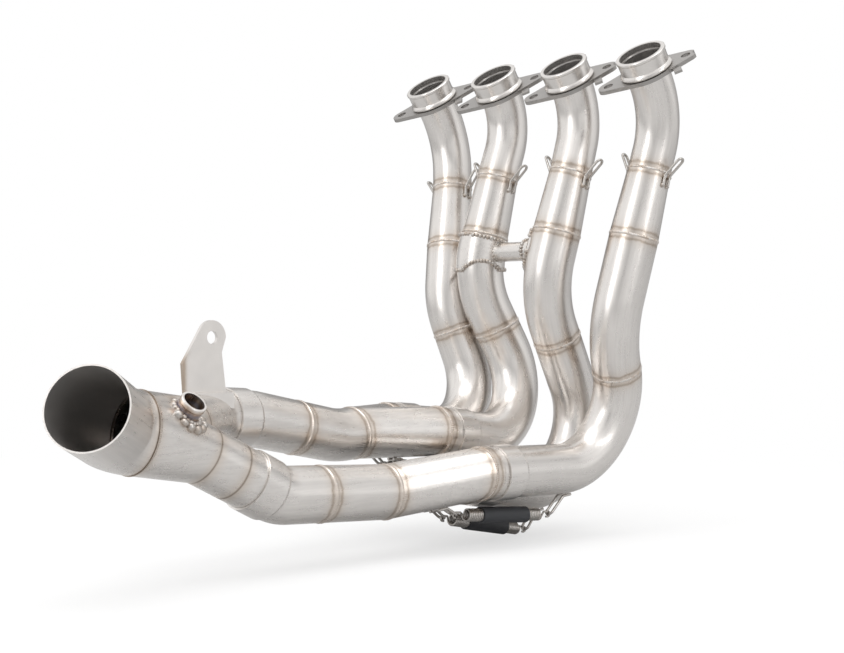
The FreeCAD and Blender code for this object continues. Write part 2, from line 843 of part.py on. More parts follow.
def spring_sleeve(number):
    """Rubber sleeve on the middle of a joint spring."""
    front, rear = loop_pair(number)
    axis = unit(rear.crown - front.crown)
    start = (front.crown + rear.crown) * 0.5 - axis * (spring_sleeve_length / 2)
    inner = spring_coil_radius + spring_sleeve_clearance
    return ring(start, axis, inner + spring_sleeve_wall, inner, spring_sleeve_length)


def show(name, shape):
    shape.exportStep("parts/%s.step" % name)


def main():
    for number in (1, 2, 3, 4):
        show("port_collar_%d" % number, port_collar(number))
        show("flange_plate_%d" % number, flange_plate(number))
        show("stub_bend_%d" % number, stub_bend(number))
        show("primary_cone_%d" % number, primary_cone(number))
        show("primary_bend_%d" % number, primary_bend(number))
        show("primary_elbow_%d" % number, primary_elbow(number))
        route = primaries[number]
        mouth = primary_stations(number)[3]
        show("slip_sleeve_%d" % number,
             slip_sleeve(route.point(mouth), route.tangent(mouth), primary_radius))
    show("near_collector", collector((3, 4), near_merge, near_way))
    show("far_collector", collector((1, 2), far_merge, far_way))
    merge = final_merge()
    show("final_merge", merge)
    show("near_branch", branch(near_branch_route, far_branch_route, secondary_radius - wall, merge))
    show("far_branch", branch(far_branch_route, near_branch_route, secondary_radius, merge))
    show("outlet_pipe", outlet_pipe())
    show("near_secondary_front", secondary_front(near_line, near_seam_y))
    show("far_secondary_front", secondary_front(far_line, far_seam_y))
    show("near_secondary_rear", secondary_rear(near_line, near_seam_y, near_mouth_y))
    show("far_secondary_rear", secondary_rear(far_line, far_seam_y, far_mouth_y))
    show("near_rear_sleeve", rear_sleeve(near_line, near_mouth_y))
    show("far_rear_sleeve", rear_sleeve(far_line, far_mouth_y))
    show("sensor_bung", sensor_bung())
    show("support_bracket", support_bracket())
    show("crossover_saddle", wrapped_saddle())
    show("crossover_socket", socket_patch())
    show("crossover_pipe", crossover_pipe())
    for number in (1, 2, 3, 4):
        show("head_spring_loops_%d" % number, head_loops(number))
        show("joint_spring_%d" % number, joint_spring(number))
        show("spring_sleeve_%d" % number, spring_sleeve(number))
    pairs = [loop_pair(number) for number in (1, 2, 3, 4)]
    show("front_spring_loops", Part.makeCompound([front.solid() for front, rear in pairs]))
    show("rear_spring_loops", Part.makeCompound([rear.solid() for front, rear in pairs]))


main()
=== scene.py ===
import math

import bpy
from mathutils import Matrix, Vector
from mathutils.kdtree import KDTree


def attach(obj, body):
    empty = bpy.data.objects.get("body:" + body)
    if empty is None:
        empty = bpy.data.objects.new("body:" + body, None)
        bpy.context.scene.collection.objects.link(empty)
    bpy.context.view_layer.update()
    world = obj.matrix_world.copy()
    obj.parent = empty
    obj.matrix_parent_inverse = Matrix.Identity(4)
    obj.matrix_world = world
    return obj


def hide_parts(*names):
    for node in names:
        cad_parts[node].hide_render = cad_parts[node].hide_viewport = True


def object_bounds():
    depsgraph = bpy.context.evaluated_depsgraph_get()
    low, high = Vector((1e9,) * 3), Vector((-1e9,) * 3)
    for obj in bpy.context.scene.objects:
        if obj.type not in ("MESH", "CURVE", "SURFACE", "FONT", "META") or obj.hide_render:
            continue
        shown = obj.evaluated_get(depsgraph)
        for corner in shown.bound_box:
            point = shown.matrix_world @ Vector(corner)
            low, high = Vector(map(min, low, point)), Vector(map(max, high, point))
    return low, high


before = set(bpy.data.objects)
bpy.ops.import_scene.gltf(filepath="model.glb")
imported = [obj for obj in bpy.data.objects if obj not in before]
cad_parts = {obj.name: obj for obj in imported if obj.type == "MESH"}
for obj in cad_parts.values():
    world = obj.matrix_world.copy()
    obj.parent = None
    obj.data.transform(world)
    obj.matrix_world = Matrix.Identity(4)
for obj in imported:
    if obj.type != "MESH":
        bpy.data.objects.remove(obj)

bl_info = {
    "name": "Sprung exhaust header",
    "version": (1, 0, 0),
    "blender": (4, 5, 0),
    "location": "3D View > Sidebar > Header",
    "description": "Dresses a four-into-two-into-one exhaust header and lights it",
    "category": "Object",
}

CAD_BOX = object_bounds()
PIPES = (1, 2, 3, 4)
OUTER_PIPES = (1, 4)
ROW_MIDDLE = 2.5

# Centrelines, in metres, as in the part's source
PORT_TILT = math.radians(36.0)
PORT_WAY = Vector((0.0, -math.sin(PORT_TILT), math.cos(PORT_TILT)))
SIDE_OF = {1: -1, 2: -1, 3: 1, 4: 1}
COLLAR_HEIGHT = 0.017
LEAD = {"outer": 0.0605, "inner": 0.050}
STUB_BEND = {"outer": 0.081, "inner": 0.060}
SEAM_A = {"outer": (0.118, 0.0265, -0.099), "inner": (0.044, 0.0105, -0.0925)}
SEAM_A_BEND = 0.040
CONE = {"outer": 0.060, "inner": 0.056}
KNEE = {1: (-0.102, 0.001, -0.2135), 2: (-0.0555, -0.0095, -0.193),
        3: (0.029, -0.013, -0.207), 4: (0.0965, 0.0, -0.242)}
KNEE_BEND = 0.090
CORNER = {1: (-0.069, 0.0275, -0.339), 2: (-0.022, 0.0625, -0.349),
          3: (0.0225, 0.095, -0.3965), 4: (0.069, 0.066, -0.3635)}
CORNER_BEND = 0.060
INLET = {1: (-0.066, -0.120, -0.3265), 2: (-0.019, -0.1045, -0.3285),
         3: (0.0195, -0.113, -0.366), 4: (0.066, -0.141, -0.3575)}
SEAM_C_RUN = {1: 0.008, 2: 0.017, 3: 0.012, 4: 0.006}
NEAR_LINE = ((0.032, -0.2165, -0.3691), (0.0283, -0.3265, -0.3633), (0.0289, -0.4036, -0.3256))
FAR_LINE = ((-0.0373, -0.187, -0.3266), (-0.0359, -0.2061, -0.3281), (-0.0278, -0.306, -0.3087),
            (-0.0249, -0.346, -0.3063), (0.0314, -0.4432, -0.312))
REAR_LINES = {"near": (NEAR_LINE, (0.040,)), "far": (FAR_LINE, (0.100, 0.060, 0.040))}
SEAM_Y = {"near": -0.285, "far": -0.257}
THIN_SEAMS_Y = {"near": (-0.372, -0.399), "far": (-0.395,)}
OUTLET_LINE = ((0.0313, -0.458, -0.3092), (0.031, -0.472, -0.3065), (0.0625, -0.5165, -0.289))
OUTLET_BEND = 0.042

# Places of two bends among the spans of a primary's route
SEAM_A_SPAN = 3
KNEE_SPAN = 5

# Slip joint, from the collector's weld back along the pipe
JOINT_GAP = 0.015
SLEEVE_LENGTH = 0.024
SLEEVE_SEAT = 0.005

BUNG_MOUTH = Vector((0.0501, -0.4203, -0.2884))
BUNG_WAY = Vector((0.68, 0.12, 0.72)).normalized()
BUNG_STAND = 0.014
BRACKET_WELD_Y = -0.3845

# How much the grain is drawn out along a tube
GRAIN_STRETCH = 0.05

# The photograph's camera, with two lengths in pixels
CAMERA_PLACE = (0.88955, -1.06394, -0.23616)
CAMERA_HEADING = math.radians(43.9)
PHOTO_FOCUS = 1500.0
PHOTO_WIDTH = 844.0
SENSOR_WIDTH = 36.0

WHITE = (1.0, 1.0, 1.0, 1.0)
COIL_SIDES = 8


def length(name, description, default):
    return bpy.props.FloatProperty(name=name, description=description, default=default, unit="LENGTH")


def paint(name, description, default):
    return bpy.props.FloatVectorProperty(
        name=name, description=description, default=default, subtype="COLOR", size=3)


class HeaderSizes(bpy.types.PropertyGroup):
    """Sizes of the tubes, joints and welds."""

    port_pitch: length("Port pitch", "Distance between neighbouring ports", 0.0845)
    wall: length("Tube wall", "Wall of every tube", 0.0012)
    stub_radius: length("Stub radius", "Outside radius at the ports", 0.01905)
    primary_radius: length("Primary radius", "Outside radius of the primaries", 0.02175)
    secondary_radius: length("Secondary radius", "Outside radius after the collectors", 0.02225)
    outlet_radius: length("Outlet radius", "Outside radius of the outlet", 0.030)
    bead_width: length("Bead width", "Width of a weld bead", 0.0026)
    bead_height: length("Bead height", "How far a weld bead stands on the tube", 0.0006)
    bead_pitch: length("Bead pitch", "From one ripple of a weld to the next", 0.0016)
    spring_radius: length("Spring radius", "Outside radius of a joint spring", 0.0056)
    spring_wire: length("Spring wire", "Radius of the spring's wire", 0.0009)
    spring_pitch: length("Spring pitch", "Distance between two turns", 0.00195)
    hook_radius: length("Hook radius", "Middle radius of a spring's hook", 0.0022)
    hook_reach: length("Hook reach", "From the coil to the middle of the hook", 0.012)
    hook_tail: length("Hook tail", "Straight end of the hook", 0.002)
    bung_radius: length("Bung radius", "Outside radius of the sensor bung", 0.010)


class HeaderFinish(bpy.types.PropertyGroup):
    """Colours of the finishes."""

    steel: paint("Steel", "Colour of the brushed tubes", (0.80, 0.768, 0.738))
    tint: paint("Heat tint", "Colour of the steel beside a weld", (0.36, 0.25, 0.155))
    flange: paint("Flange", "Colour of the cut plates", (0.40, 0.385, 0.37))
    silicone: paint("Silicone", "Colour of the spring sleeves", (0.022, 0.023, 0.026))
    soot: paint("Soot", "Colour inside the tubes", (0.085, 0.078, 0.073))
    floor: paint("Floor", "Colour of the floor", (0.93, 0.93, 0.93))


def sizes():
    return bpy.context.scene.header_sizes


def finish():
    return bpy.context.scene.header_finish


class Run:
    """A straight stretch of a centreline."""

    def __init__(self, start, end):
        self.start = start
        self.length = (end - start).length
        self.way = (end - start).normalized()

    def point(self, s):
        return self.start + self.way * s

    def tangent(self, s):
        return self.way


class Bend:
    """A circular stretch of a centreline, tangent to what comes before it."""

    def __init__(self, start, way, centre, angle):
        self.start = start
        self.way = way.normalized()
        self.centre = centre
        self.radius = (start - centre).length
        self.axis = (start - centre).cross(way).normalized()
        self.length = self.radius * angle

    def turn(self, s):
        return Matrix.Rotation(s / self.radius, 3, self.axis)

    def point(self, s):
        return self.centre + self.turn(s) @ (self.start - self.centre)

    def tangent(self, s):
        return self.turn(s) @ self.way


class Route:
    """Straight runs joined by tangent bends."""

    def __init__(self, points, radii):
        self.spans = []
        start = points[0]
        for before, here, after, radius in zip(points, points[1:], points[2:], radii):
            way_in = (here - before).normalized()
            way_out = (after - here).normalized()
            angle = way_in.angle(way_out)
            setback = radius * math.tan(angle / 2)
            bend_start = here - way_in * setback
            inward = (way_out - way_in * way_in.dot(way_out)).normalized()
            self.spans.append(Run(start, bend_start))
            self.spans.append(Bend(bend_start, way_in, bend_start + inward * radius, angle))
            start = here + way_out * setback
        self.spans.append(Run(start, points[-1]))
        self.length = sum(span.length for span in self.spans)

    def locate(self, s):
        for span in self.spans[:-1]:
            if s <= span.length:
                return span, s
            s -= span.length
        return self.spans[-1], s

    def point(self, s):
        span, rest = self.locate(s)
        return span.point(rest)

    def tangent(self, s):
        span, rest = self.locate(s)
        return span.tangent(rest)

    def end_of(self, index):
        return sum(span.length for span in self.spans[:index + 1])


def group_of(number):
    return "outer" if number in OUTER_PIPES else "inner"


def port_point(number):
    return Vector(((number - ROW_MIDDLE) * sizes().port_pitch, 0.0, 0.0))


def primary_route(number):
    """Centreline of one primary, from the port mouth to the collector weld."""
    group = group_of(number)
    seam_a = Vector(SEAM_A[group])
    seam_a.x *= SIDE_OF[number]
    mouth = port_point(number)
    points = [mouth, mouth - PORT_WAY * LEAD[group], seam_a]
    points += [Vector(place[number]) for place in (KNEE, CORNER, INLET)]
    return Route(points, [STUB_BEND[group], SEAM_A_BEND, KNEE_BEND, CORNER_BEND])


def primary_seams(number, route):
    """Distances along a primary of its three welds."""
    seam_a = route.end_of(SEAM_A_SPAN)
    seam_b = seam_a + CONE[group_of(number)]
    seam_c = route.end_of(KNEE_SPAN) + SEAM_C_RUN[number]
    return seam_a, seam_b, seam_c


def rear_route(side):
    """Centreline of a rear pipe, from its collector to the final merge."""
    points, radii = REAR_LINES[side]
    return Route([Vector(point) for point in points], radii)


def station_at_y(route, y):
    """Distance along a rear route at which its centreline passes the given Y."""
    low, high = 0.0, route.length
    halvings = 40
    for _ in range(halvings):
        middle = (low + high) / 2
        if route.point(middle).y > y:
            low = middle
        else:
            high = middle
    return low


def outlet_route():
    return Route([Vector(point) for point in OUTLET_LINE], [OUTLET_BEND])


class Weld:
    """A round weld: its centre, the way along the tube and the tube's radius."""

    def __init__(self, centre, way, radius):
        self.centre = centre
        self.way = way.normalized()
        self.radius = radius


def weld_at(route, s, radius):
    return Weld(route.point(s), route.tangent(s), radius)


def weld_table():
    """All round welds, by the group of beads that they belong to."""
    size = sizes()
    table = {}
    for number in PIPES:
        route = primary_route(number)
        radii = (size.stub_radius, size.primary_radius, size.primary_radius)
        table["primary_%d" % number] = [
            weld_at(route, s, radius) for s, radius in zip(primary_seams(number, route), radii)]
        table["inlet_%d" % number] = [
            Weld(Vector(INLET[number]), route.tangent(route.length), size.primary_radius)]
    for side in ("near", "far"):
        route = rear_route(side)
        seam = station_at_y(route, SEAM_Y[side])
        table[side + "_secondary"] = [
            weld_at(route, s, size.secondary_radius) for s in (0.0, seam)]
    return table


def thin_seams(side):
    """Welds that were dressed flush, seen only as thin brown lines."""
    size = sizes()
    if side == "outlet":
        return [weld_at(outlet_route(), 0.0, size.outlet_radius)]
    route = rear_route(side)
    return [weld_at(route, station_at_y(route, y), size.secondary_radius) for y in THIN_SEAMS_Y[side]]


class Val:
    """A socket of a node tree, with arithmetic that adds Math nodes."""

    def __init__(self, maker, socket):
        self.maker = maker
        self.socket = socket

    def math(self, operation, *others):
        return self.maker.math(operation, self, *others)

    def __add__(self, other):
        return self.math("ADD", other)

    def __sub__(self, other):
        return self.math("SUBTRACT", other)

    def __rsub__(self, other):
        return self.maker.math("SUBTRACT", other, self)

    def __mul__(self, other):
        return self.math("MULTIPLY", other)

    def __truediv__(self, other):
        return self.math("DIVIDE", other)

    def __pow__(self, other):
        return self.math("POWER", other)

    __radd__ = __add__
    __rmul__ = __mul__

    def at_most(self, other):
        return self.math("MINIMUM", other)

    def at_least(self, other):
        return self.math("MAXIMUM", other)

    def clamped(self):
        return self.at_least(0.0).at_most(1.0)

    def bell(self, width):
        """1 at zero, falling to about a third at the width."""
        return ((self / width) ** 2.0 * -1.0).math("EXPONENT")


class Maker:
    """Makes the nodes of one tree."""

    def __init__(self, tree):
        self.tree = tree
        tree.nodes.clear()

    def feed(self, node, values):
        """Sets a node's inputs, or links those whose value comes from another node."""
        for key, value in values.items():
            if isinstance(value, Val):
                self.tree.links.new(value.socket, node.inputs[key])
            else:
                node.inputs[key].default_value = value

    def node(self, kind, settings=None, values=None):
        node = self.tree.nodes.new(kind)
        for key, value in (settings or {}).items():
            setattr(node, key, value)
        self.feed(node, values or {})
        return node

    def val(self, node, key=0):
        return Val(self, node.outputs[key])

    def math(self, operation, *values):
        return self.val(self.node("ShaderNodeMath", {"operation": operation}, dict(enumerate(values))))

    def vector(self, operation, values, key=0):
        return self.val(self.node("ShaderNodeVectorMath", {"operation": operation}, values), key)

    def dot(self, place, way):
        return self.vector("DOT_PRODUCT", {0: place, 1: tuple(way)}, "Value")

    def blend(self, factor, first, second):
        """A colour between two colours."""
        node = self.node("ShaderNodeMix", {"data_type": "RGBA"}, {0: factor, 6: first, 7: second})
        return self.val(node, 2)

    def eased(self, value, low, high, start=0.0, end=1.0):
        """The start below low, the end above high, and a smooth rise between them."""
        return self.val(self.node("ShaderNodeMapRange", {"interpolation_type": "SMOOTHSTEP"},
                                  {"Value": value, "From Min": low, "From Max": high,
                                   "To Min": start, "To Max": end}))

    def noise(self, place, scale, detail=2.0, rough=0.5):
        return self.val(self.node("ShaderNodeTexNoise", None,
                                  {"Vector": place, "Scale": scale, "Detail": detail,
                                   "Roughness": rough}))


class Finish(Maker):
    """A material with a Principled shader, whose patterns read Object coordinates."""

    def __init__(self, name):
        self.material = bpy.data.materials.new(name)
        self.material.use_nodes = True
        super().__init__(self.material.node_tree)
        self.shader = self.node("ShaderNodeBsdfPrincipled")
        self.output = self.node("ShaderNodeOutputMaterial", None, {"Surface": self.val(self.shader)})
        self.place = self.val(self.node("ShaderNodeTexCoord"), "Object")

    def set(self, **values):
        self.feed(self.shader, {key.replace("_", " "): value for key, value in values.items()})

    def bump(self, height, strength, distance):
        self.set(Normal=self.val(self.node("ShaderNodeBump", None,
                                           {"Height": height, "Strength": strength,
                                            "Distance": distance})))

    def whiten(self, factor):
        """Mixes plain white over the shader."""
        white = self.node("ShaderNodeEmission", None, {"Color": WHITE, "Strength": 1.0})
        mix = self.node("ShaderNodeMixShader", None,
                        {0: factor, 1: self.val(self.shader), 2: self.val(white)})
        self.feed(self.output, {"Surface": self.val(mix)})

    def away_from(self, centre):
        return self.vector("SUBTRACT", {0: self.place, 1: tuple(centre)})

    def from_axis(self, centre, way):
        """How far the surface lies along an axis through a centre, and how far off it."""
        away = self.away_from(centre)
        along = self.dot(away, way)
        reach = self.vector("LENGTH", {0: away}, "Value")
        return along, (reach * reach - along * along).at_least(0.0) ** 0.5

    def distance_to(self, weld):
        """Distance from the surface to the circle of a weld."""
        along, across = self.from_axis(weld.centre, weld.way)
        off = across - weld.radius
        return (off * off + along * along) ** 0.5

    def nearest(self, welds):
        """Distance from the surface to the nearest of the welds."""
        best, *others = [self.distance_to(weld) for weld in welds]
        for other in others:
            best = best.at_most(other)
        return best


def rgba(colour, level=1.0):
    return (colour[0] * level, colour[1] * level, colour[2] * level, 1.0)


def tube_steel(name, welds, flush=(), drawn=False):
    """Satin steel with lines along the tube, browned beside its welds and on the flush ones."""
    look = finish()
    steel = Finish(name)
    if drawn:
        grain = steel.val(steel.node("ShaderNodeAttribute", {"attribute_name": "grain"}), "Vector")
    else:
        grain = steel.vector("MULTIPLY", {0: steel.place, 1: (1.0, GRAIN_STRETCH, 1.0)})
    lines = steel.noise(grain, 420.0)
    blotch = steel.noise(steel.place, 38.0, 3.0, 0.55)
    fine = steel.noise(grain, 1500.0, 2.0, 0.6)
    cloud = steel.noise(steel.place, 120.0, 3.0, 0.6)
    shade = ((lines - 0.5) * 0.9 + (blotch - 0.5) * 0.35 + 0.5).clamped()
    colour = steel.blend(shade, rgba(look.steel, 0.84), rgba(look.steel, 1.10))
    if welds:
        straw_width, dark_reach, dark_width = 0.0085, 0.0044, 0.0013
        reach = steel.nearest(welds)
        wander = (cloud - 0.5) * 0.005
        straw = (reach + wander).bell(straw_width)
        dark = (reach - dark_reach + wander).bell(dark_width)
        colour = steel.blend(straw * 0.32, colour, rgba(look.tint, 1.5))
        colour = steel.blend(dark * 0.50, colour, rgba(look.tint, 0.75))
    if flush:
        halo_width, line_width = 0.006, 0.0009
        reach = steel.nearest(flush)
        colour = steel.blend(reach.bell(halo_width) * 0.25, colour, rgba(look.tint, 1.6))
        colour = steel.blend(reach.bell(line_width) * 0.7, colour, rgba(look.tint, 0.5))
    rough = 0.22 + cloud * 0.05 + lines * 0.08
    steel.set(Base_Color=colour, Metallic=1.0, Roughness=rough)
    steel.bump(fine, 0.10, 0.0003)
    return steel.material


def weld_steel(name, level):
    """Metal of the welds, browned in places; level is how light it is."""
    look = finish()
    metal = Finish(name)
    patch = metal.noise(metal.place, 160.0, 3.0, 0.6)
    colour = metal.blend((patch - 0.35) * 1.8, rgba(look.steel, level), rgba(look.tint, level * 1.3))
    metal.set(Base_Color=colour, Metallic=1.0, Roughness=0.26 + patch * 0.16)
    return metal.material


def blued_steel(name, mouth):
    """Steel that was welded hot: straw, brown and blue bands from its mouth to its foot."""
    look = finish()
    metal = Finish(name)
    cloud = metal.noise(metal.place, 200.0, 3.0, 0.6)
    straw_depth, blue_depth, blue_width = 0.004, 0.007, 0.003
    depth = metal.dot(metal.away_from(mouth), -BUNG_WAY) + (cloud - 0.5) * 0.006
    straw = metal.blend((depth / straw_depth).at_most(1.0), rgba(look.steel), rgba(look.tint, 1.6))
    blue = (depth - blue_depth).bell(blue_width)
    colour = metal.blend(blue * 0.8, straw, (0.30, 0.32, 0.42, 1.0))
    metal.set(Base_Color=colour, Metallic=1.0, Roughness=0.22 + cloud * 0.15)
    return metal.material


def turned_steel(name, centre):
    """Polished collar with fine turning lines across its axis, darker inside its bore."""
    look = finish()
    metal = Finish(name)
    bore_radius, bore_edge, line_rate = 0.0194, 3000.0, 9000.0
    along, across = metal.from_axis(centre, PORT_WAY)
    lines = (along * line_rate).math("SINE")
    cloud = metal.noise(metal.place, 90.0)
    inside = ((bore_radius - across) * bore_edge).clamped()
    colour = metal.blend(cloud, rgba(look.steel, 0.86), rgba(look.steel, 1.04))
    colour = metal.blend(inside, colour, rgba(look.steel, 0.62))
    metal.set(Base_Color=colour, Metallic=1.0 - inside * 0.15,
              Roughness=0.16 + cloud * 0.10 + inside * 0.06)
    metal.bump(lines, 0.10, 0.0002)
    return metal.material


def plate_steel(name, colour, burnt_y=None):
    """Cut plate with a fine grain; burnt_y is the Y of an edge that was browned by its weld."""
    plate = Finish(name)
    grain = plate.noise(plate.place, 2600.0)
    cloud = plate.noise(plate.place, 60.0)
    shade = plate.blend(cloud, rgba(colour, 0.92), rgba(colour, 1.08))
    if burnt_y is not None:
        off = plate.dot(plate.place, (0.0, 1.0, 0.0)) - burnt_y
        brown = (off + (cloud - 0.5) * 0.006).bell(0.003) * 0.7
        shade = plate.blend(brown, shade, rgba(finish().tint))
    plate.set(Base_Color=shade, Metallic=1.0, Roughness=0.34 + cloud * 0.10)
    plate.bump(grain, 0.05, 0.0001)
    return plate.material


def wire_steel(name):
    """Bright drawn wire."""
    wire = Finish(name)
    cloud = wire.noise(wire.place, 300.0)
    shade = wire.blend(cloud, (0.42, 0.385, 0.35, 1.0), (0.66, 0.64, 0.62, 1.0))
    wire.set(Base_Color=shade, Metallic=1.0, Roughness=0.16 + cloud * 0.12)
    return wire.material


def silicone(name):
    """Soft dark sleeve with dust in its fine grain."""
    look = finish()
    rubber = Finish(name)
    grain = rubber.noise(rubber.place, 1200.0, 3.0, 0.6)
    dust = rubber.noise(rubber.place, 130.0, 3.0, 0.6)
    shade = rubber.blend(dust * 0.5, rgba(look.silicone), rgba(look.silicone, 2.6))
    rubber.set(Base_Color=shade, Roughness=0.46 + dust * 0.2)
    rubber.bump(grain, 0.15, 0.0004)
    return rubber.material


def sooted(name):
    """Inside of the tubes: bare steel near the ports, dark brown and patchy farther in."""
    look = finish()
    bore = Finish(name)
    patch = bore.noise(bore.place, 70.0, 3.0, 0.6)
    inward = bore.eased(bore.dot(bore.place, -PORT_WAY), 0.025, 0.070)
    dark = bore.blend((patch - 0.45) * 2.2, rgba(look.soot), rgba(look.soot, 2.2))
    shade = bore.blend(inward, rgba(look.steel, 0.6), dark)
    bore.set(Base_Color=shade, Metallic=0.75 - inward * 0.25, Roughness=0.30 + patch * 0.2)
    return bore.material


def new_mesh(name, vertices, faces=(), materials=()):
    mesh = bpy.data.meshes.new(name)
    mesh.from_pydata([tuple(v) for v in vertices], [], faces)
    for material in materials:
        mesh.materials.append(material)
    return mesh


def linked(name, data):
    """An object in the scene."""
    piece = bpy.data.objects.new(name, data)
    bpy.context.scene.collection.objects.link(piece)
    return piece


def shaped(name, vertices, faces, materials, slots=None):
    """A mesh object with its place in its mesh."""
    mesh = new_mesh(name, vertices, faces, materials)
    if slots:
        mesh.polygons.foreach_set("material_index", slots)
    mesh.polygons.foreach_set("use_smooth", [True] * len(mesh.polygons))
    mesh.update()
    return linked(name, mesh)


def ring(centre, side, up, radius, count):
    """Points on a circle in the plane of two directions."""
    angles = [2 * math.pi * i / count for i in range(count)]
    return [centre + (side * math.cos(angle) + up * math.sin(angle)) * radius for angle in angles]


def carried(ways):
    """Two directions square to each way, turned as little as possible from one to the next."""
    side = ways[0].orthogonal().normalized()
    pairs = []
    for way in ways:
        side = (side - way * side.dot(way)).normalized()
        pairs.append((side, way.cross(side).normalized()))
    return pairs


def stations(route, start, end):
    """Distances along a route from start to end, close together in its bends."""
    bend_step, run_step, least = 0.0022, 0.012, 1e-6
    marks = [start]
    passed = 0.0
    for span in route.spans:
        low = max(start, passed)
        high = min(end, passed + span.length)
        if high - low > least:
            step = bend_step if isinstance(span, Bend) else run_step
            count = max(1, math.ceil((high - low) / step))
            marks += [low + (high - low) * (i + 1) / count for i in range(count)]
        passed += span.length
    return marks


def tube_mesh(name, route, start, end, radii, materials):
    """A hollow tube along a route, from its outside radius at the start to that at the end."""
    around = 96
    marks = stations(route, start, end)
    frames = carried([route.tangent(mark) for mark in marks])
    spokes = ring(Vector(), Vector((1.0, 0.0, 0.0)), Vector((0.0, 1.0, 0.0)), 1.0, around)
    vertices = []
    grain = []
    for depth in (0.0, sizes().wall):
        for mark, (side, up) in zip(marks, frames):
            radius = radii[0] + (radii[1] - radii[0]) * (mark - start) / (end - start) - depth
            vertices += ring(route.point(mark), side, up, radius, around)
            for spoke in spokes:
                grain += [radius * spoke.x, radius * spoke.y, mark * GRAIN_STRETCH]
    faces = []
    slots = []
    rows = len(marks)
    layer = rows * around
    last = layer - around
    for i in range(around):
        k = (i + 1) % around
        for row in range(0, last, around):
            a, b = row + i, row + k
            faces.append((a, b, b + around, a + around))
            faces.append((layer + b, layer + a, layer + a + around, layer + b + around))
            slots += [0, 1]
        faces.append((k, i, layer + i, layer + k))
        faces.append((last + i, last + k, layer + last + k, layer + last + i))
        slots += [0, 0]
    piece = shaped(name, vertices, faces, materials, slots)
    piece.data.attributes.new("grain", "FLOAT_VECTOR", "POINT").data.foreach_set("vector", grain)
    piece.data.set_sharp_from_angle(angle=math.radians(35.0))
    return piece


class Grower(Maker):
    """A Geometry Nodes tree with named inputs, the last of them the metal of what it makes."""

    def __init__(self, name, inputs):
        super().__init__(bpy.data.node_groups.new(name, "GeometryNodeTree"))
        sockets = self.tree.interface
        sockets.new_socket(name="Geometry", in_out="INPUT", socket_type="NodeSocketGeometry")
        self.names = {}
        for label, kind, default in inputs + (("Metal", "Material", None),):
            socket = sockets.new_socket(name=label, in_out="INPUT", socket_type="NodeSocket" + kind)
            if default is not None:
                socket.default_value = default
            self.names[label] = socket.identifier
        sockets.new_socket(name="Geometry", in_out="OUTPUT", socket_type="NodeSocketGeometry")
        self.entry = self.node("NodeGroupInput")

    def given(self, label):
        return self.val(self.entry, label)

    def varied(self, low, high):
        """A random vector for each instance, between two vectors."""
        return self.val(self.node("FunctionNodeRandomValue", {"data_type": "FLOAT_VECTOR"},
                                  {0: low, 1: high, "Seed": self.given("Seed")}))

    def end(self, shape):
        real = self.node("GeometryNodeRealizeInstances", None, {0: shape})
        smooth = self.node("GeometryNodeSetShadeSmooth", None, {0: self.val(real)})
        metal = self.node("GeometryNodeSetMaterial", None,
                          {"Geometry": self.val(smooth), "Material": self.given("Metal")})
        self.node("NodeGroupOutput", None, {0: self.val(metal)})

    def grown(self, values, points=()):
        """The mesh that the tree makes with the given values, on the given points."""
        seed = new_mesh("seed", points)
        holder = linked("seed", seed)
        modifier = holder.modifiers.new("grow", "NODES")
        modifier.node_group = self.tree
        for label, value in values.items():
            modifier[self.names[label]] = value
        bpy.context.view_layer.update()
        evaluated = holder.evaluated_get(bpy.context.evaluated_depsgraph_get())
        mesh = bpy.data.meshes.new_from_object(evaluated)
        bpy.data.objects.remove(holder)
        bpy.data.meshes.remove(seed)
        return mesh


def bead_tree():
    """A ring of overlapping ripples round a tube."""
    tree = Grower("weld_bead", (
        ("Radius", "Float", 0.02), ("Width", "Float", 0.0046), ("Height", "Float", 0.0009),
        ("Count", "Int", 50), ("Seed", "Int", 1)))
    circle = tree.node("GeometryNodeCurvePrimitiveCircle", None,
                       {"Resolution": tree.given("Count"), "Radius": tree.given("Radius")})
    tangent = tree.node("GeometryNodeInputTangent")
    turn = tree.node("FunctionNodeAlignRotationToVector", {"axis": "X"},
                     {"Vector": tree.val(tangent)})
    ripple = tree.node("GeometryNodeMeshUVSphere", None, {"Segments": 8, "Rings": 6, "Radius": 1.0})
    width = tree.given("Width")
    size = tree.node("ShaderNodeCombineXYZ", None,
                     {"X": width * 0.42, "Y": tree.given("Height"), "Z": width * 0.5})
    vary = tree.varied((0.86, 0.8, 0.86), (1.12, 1.15, 1.1))
    ripples = tree.node("GeometryNodeInstanceOnPoints", None,
                        {"Points": tree.val(circle), "Instance": tree.val(ripple, "Mesh"),
                         "Rotation": tree.val(turn),
                         "Scale": tree.vector("MULTIPLY", {0: tree.val(size), 1: vary})})
    tree.end(tree.val(ripples))
    return tree


def coil_tree():
    """A close-wound coil along Z."""
    tree = Grower("spring_coil", (
        ("Turns", "Float", 30.0), ("Radius", "Float", 0.0047), ("Wire", "Float", 0.0009),
        ("Length", "Float", 0.08)))
    radius = tree.given("Radius")
    spiral = tree.node("GeometryNodeCurveSpiral", None,
                       {"Resolution": 20, "Rotations": tree.given("Turns"), "Start Radius": radius,
                        "End Radius": radius, "Height": tree.given("Length")})
    wire = tree.node("GeometryNodeCurvePrimitiveCircle", None,
                     {"Resolution": COIL_SIDES, "Radius": tree.given("Wire")})
    body = tree.node("GeometryNodeCurveToMesh", None,
                     {"Curve": tree.val(spiral), "Profile Curve": tree.val(wire), "Fill Caps": True})
    tree.end(tree.val(body))
    return tree


